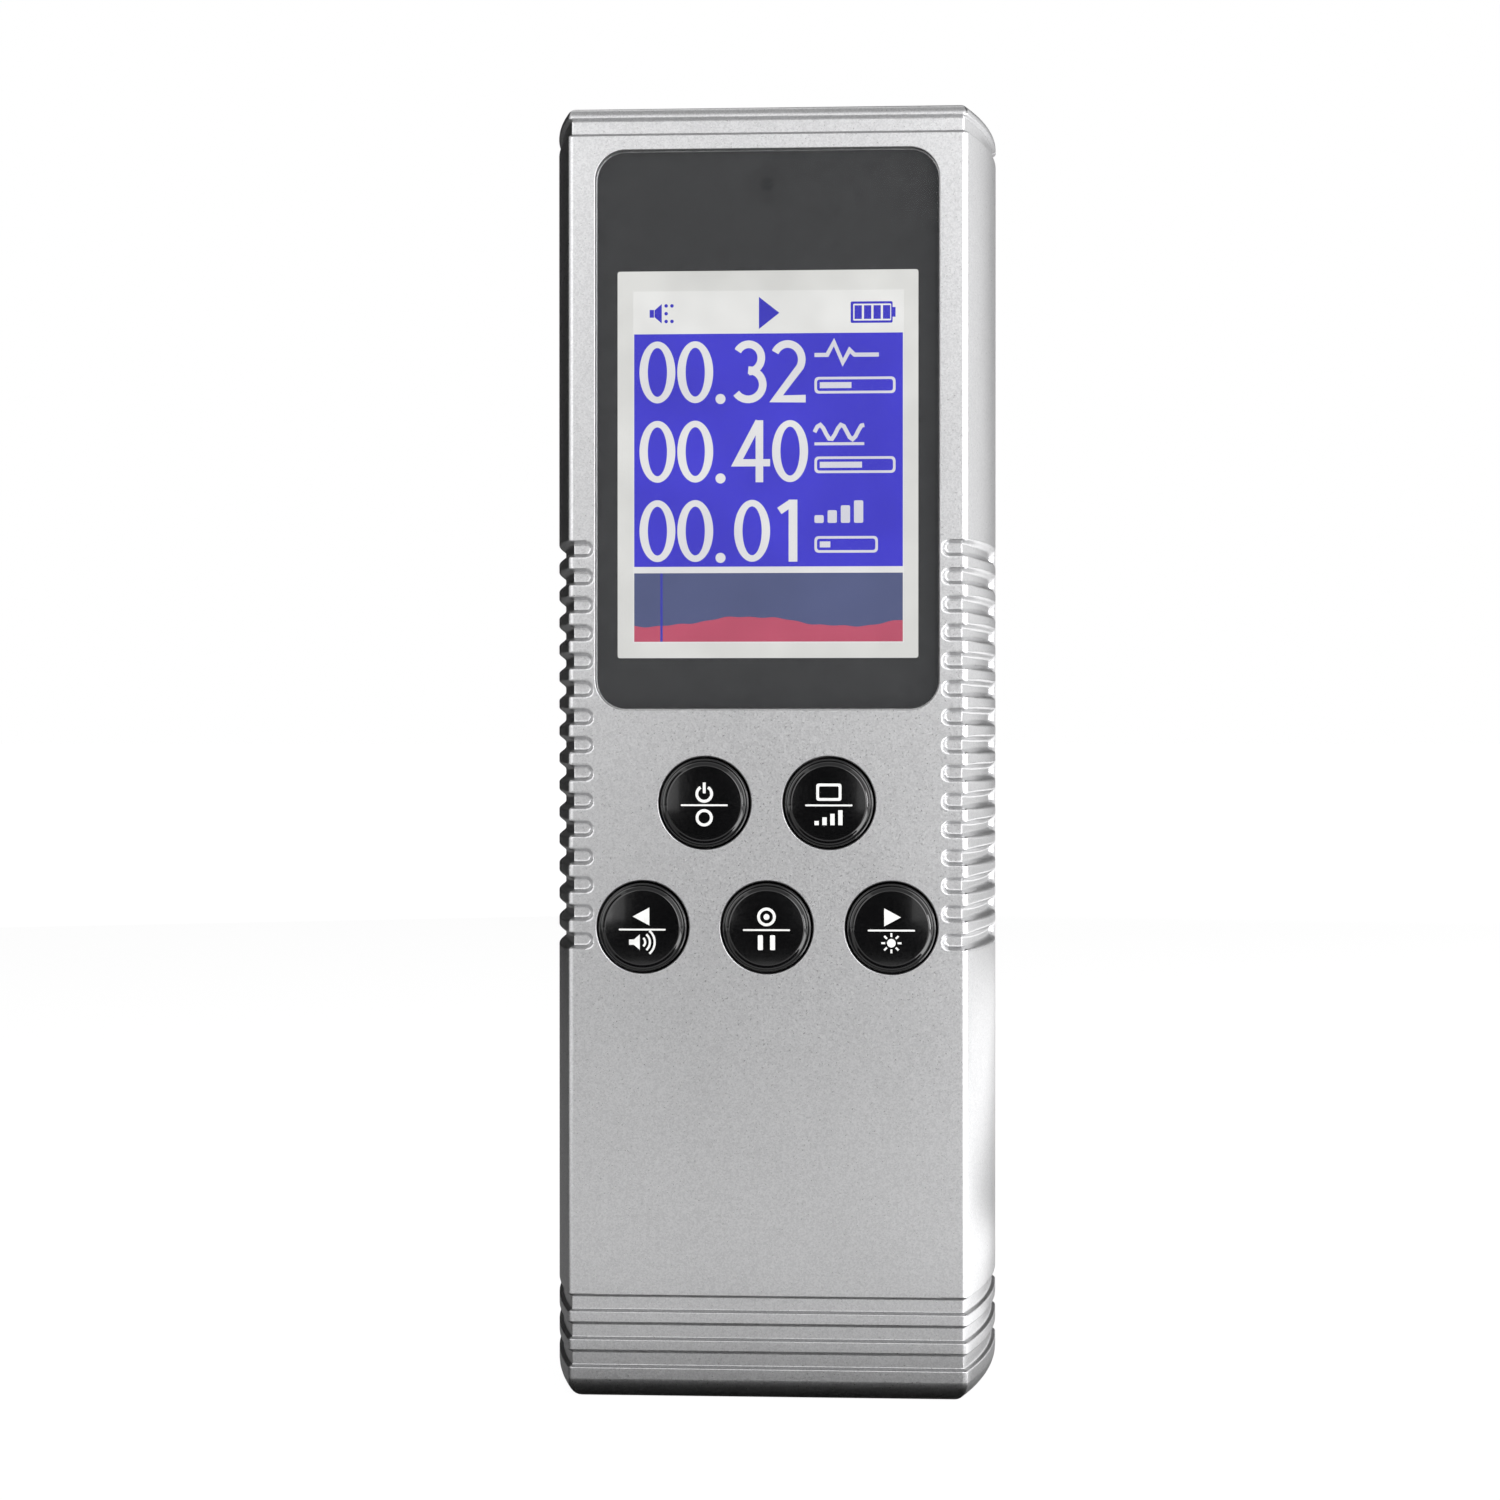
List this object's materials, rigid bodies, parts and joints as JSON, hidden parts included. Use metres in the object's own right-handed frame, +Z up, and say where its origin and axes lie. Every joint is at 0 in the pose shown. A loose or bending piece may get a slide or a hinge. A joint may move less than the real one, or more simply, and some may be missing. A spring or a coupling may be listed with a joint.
{
  "type": "geiger counter",
  "caption": "Hand-held radiation meter in a silver two-part housing, with a colour display behind a dark window, round push buttons, ribbed side grips and a battery door in the back.",
  "frame": {"origin": "middle of the lower end, which it stands on", "axes": "+Z up along the length of the housing, the display and buttons face -Y, +X to the right seen from the front"},
  "size_m": [0.047, 0.0288, 0.132],
  "materials": {
    "silver_cover": "satin silver paint on moulded plastic",
    "clear_window": "polished",
    "window_print": "dark grey print",
    "foam_tape": "closed cell foam",
    "white_plastic": "moulded",
    "display_panel": "polished",
    "ribbon_film": "polyimide film",
    "black_button": "high gloss",
    "dark_plastic": "moulded",
    "circuit_board": "solder mask",
    "connector_plastic": "moulded",
    "chip_resin": "moulded",
    "tinned_metal": "tinned",
    "ferrite": "sintered",
    "copper_wire": "enamelled",
    "capacitor_resin": "dipped",
    "capacitor_sleeve": "shrink sleeve",
    "led_lens": "clear lens",
    "tube_envelope": "polished",
    "cathode_metal": "drawn",
    "clip_brass": "sprung sheet",
    "cell_sleeve": "printed sleeve, plain",
    "red_insulation": "satin",
    "black_insulation": "satin",
    "screw_steel": "plated"
  },
  "bodies": {
    "housing": {"front_cover": "silver_cover", "rear_cover": "silver_cover", "display_window": "clear_window", "window_mask": "window_print", "window_adhesive": "foam_tape", "lcd_frame": "white_plastic", "lcd_glass": "display_panel", "lcd_backlight": "white_plastic", "lcd_flex": "ribbon_film", "lcd_cushion": "foam_tape", "main_board": "circuit_board", "flex_connector": "connector_plastic", "microcontroller": "chip_resin", "regulator_chip": "chip_resin", "crystal": "tinned_metal", "high_voltage_core": "ferrite", "high_voltage_winding": "copper_wire", "film_capacitors": "capacitor_resin", "filter_capacitor": "capacitor_sleeve", "resistors": "chip_resin", "indicator_led": "led_lens", "buzzer_case": "dark_plastic", "buzzer_disc": "clip_brass", "tube_glass": "tube_envelope", "tube_cathode": "cathode_metal", "tube_anode": "tinned_metal", "tube_cap_upper": "tinned_metal", "tube_cap_lower": "tinned_metal", "tube_clip_upper": "clip_brass", "tube_clip_lower": "clip_brass", "battery_left": "cell_sleeve", "battery_middle": "cell_sleeve", "battery_right": "cell_sleeve", "battery_springs": "screw_steel", "battery_contacts": "tinned_metal", "red_wire": "red_insulation", "black_wire": "black_insulation", "case_screws": "screw_steel", "board_screws": "screw_steel", "power_switch": "dark_plastic", "display_switch": "dark_plastic", "left_switch": "dark_plastic", "centre_switch": "dark_plastic", "right_switch": "dark_plastic"},
    "power_key": {"power_button": "black_button", "power_plunger": "dark_plastic"},
    "display_key": {"display_button": "black_button", "display_plunger": "dark_plastic"},
    "left_key": {"left_button": "black_button", "left_plunger": "dark_plastic"},
    "centre_key": {"centre_button": "black_button", "centre_plunger": "dark_plastic"},
    "right_key": {"right_button": "black_button", "right_plunger": "dark_plastic"},
    "door": {"battery_door": "silver_cover"}
  },
  "joints": [
    {"name": "power_press", "type": "slide", "parent": "housing", "child": "power_key", "axis": [0, 1, 0], "range_m": [0, 0.00025], "stiffness_N_per_m": 500, "springref_m": -0.001},
    {"name": "display_press", "type": "slide", "parent": "housing", "child": "display_key", "axis": [0, 1, 0], "range_m": [0, 0.00025], "stiffness_N_per_m": 500, "springref_m": -0.001},
    {"name": "left_press", "type": "slide", "parent": "housing", "child": "left_key", "axis": [0, 1, 0], "range_m": [0, 0.00025], "stiffness_N_per_m": 500, "springref_m": -0.001},
    {"name": "centre_press", "type": "slide", "parent": "housing", "child": "centre_key", "axis": [0, 1, 0], "range_m": [0, 0.00025], "stiffness_N_per_m": 500, "springref_m": -0.001},
    {"name": "right_press", "type": "slide", "parent": "housing", "child": "right_key", "axis": [0, 1, 0], "range_m": [0, 0.00025], "stiffness_N_per_m": 500, "springref_m": -0.001},
    {"name": "door_hinge", "type": "hinge", "parent": "housing", "child": "door", "pos_m": [0, 0.01355, 0.01315], "axis": [-1, 0, 0], "range_deg": [0, 60]}
  ]
}
